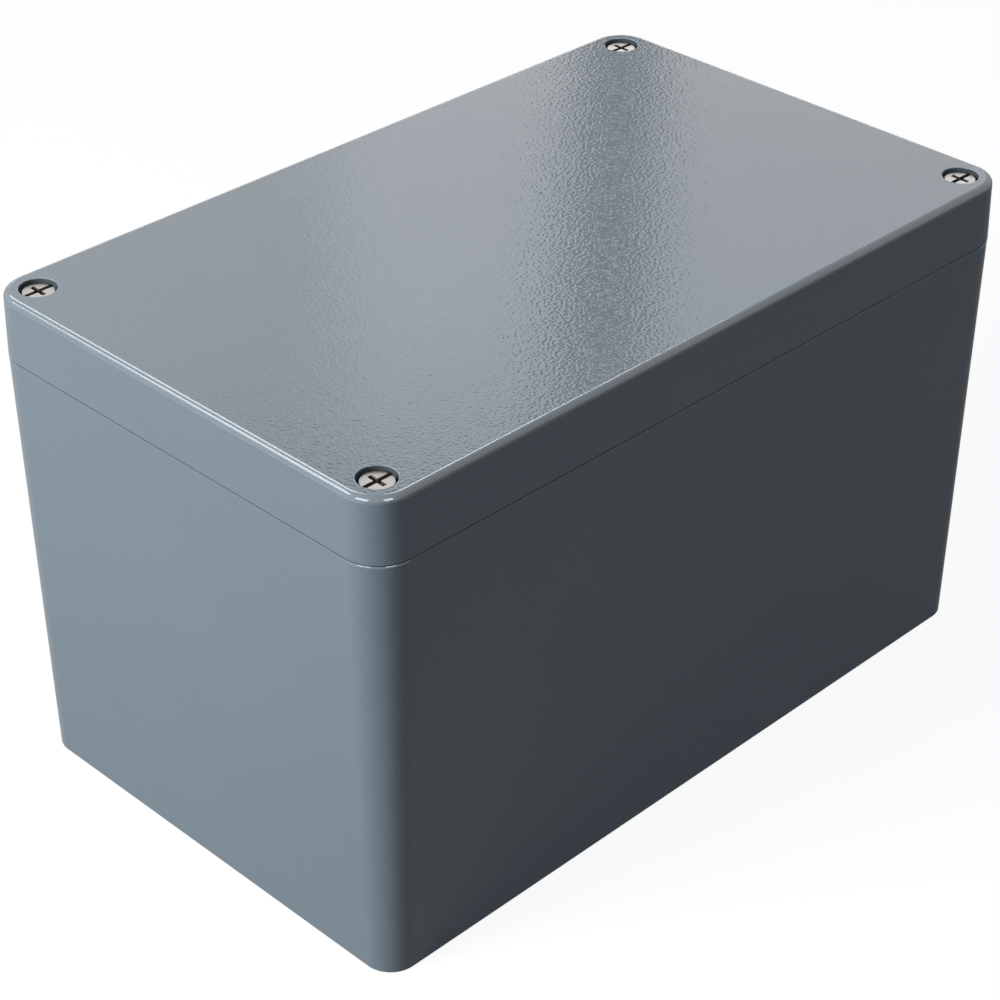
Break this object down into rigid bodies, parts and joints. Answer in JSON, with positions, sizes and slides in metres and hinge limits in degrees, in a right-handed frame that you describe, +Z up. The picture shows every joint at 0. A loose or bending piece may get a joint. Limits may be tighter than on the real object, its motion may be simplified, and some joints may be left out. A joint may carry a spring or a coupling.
{
  "type": "die cast aluminium box",
  "caption": "Deep rectangular powder-coated enclosure with a sealed screw-down lid, corner fixing channels outside the seal and tapped bosses inside.",
  "frame": {"origin": "middle of the underside, on the surface that the box stands on", "axes": "+X along the long side, +Y along the width, +Z up through the lid; front is -Y and left is -X"},
  "size_m": [0.26, 0.16, 0.1585],
  "materials": {
    "coated_casting": "blue-grey polyester powder coat with a fine orange-peel texture on die cast aluminium",
    "seal_rubber": "black moulded rubber",
    "screw_steel": "turned stainless steel",
    "ring_nylon": "natural nylon",
    "earth_brass": "pressed brass"
  },
  "bodies": {
    "root": {"base": "coated_casting", "lid": "coated_casting", "lid_seal": "seal_rubber", "lid_screw_front_left": "screw_steel", "lid_screw_front_right": "screw_steel", "lid_screw_back_left": "screw_steel", "lid_screw_back_right": "screw_steel", "screw_ring_front_left": "ring_nylon", "screw_ring_front_right": "ring_nylon", "screw_ring_back_left": "ring_nylon", "screw_ring_back_right": "ring_nylon", "base_earth_clamp": "earth_brass", "base_earth_spring_washer": "screw_steel", "base_earth_screw": "screw_steel", "lid_earth_clamp": "earth_brass", "lid_earth_spring_washer": "screw_steel", "lid_earth_screw": "screw_steel"}
  },
  "joints": []
}
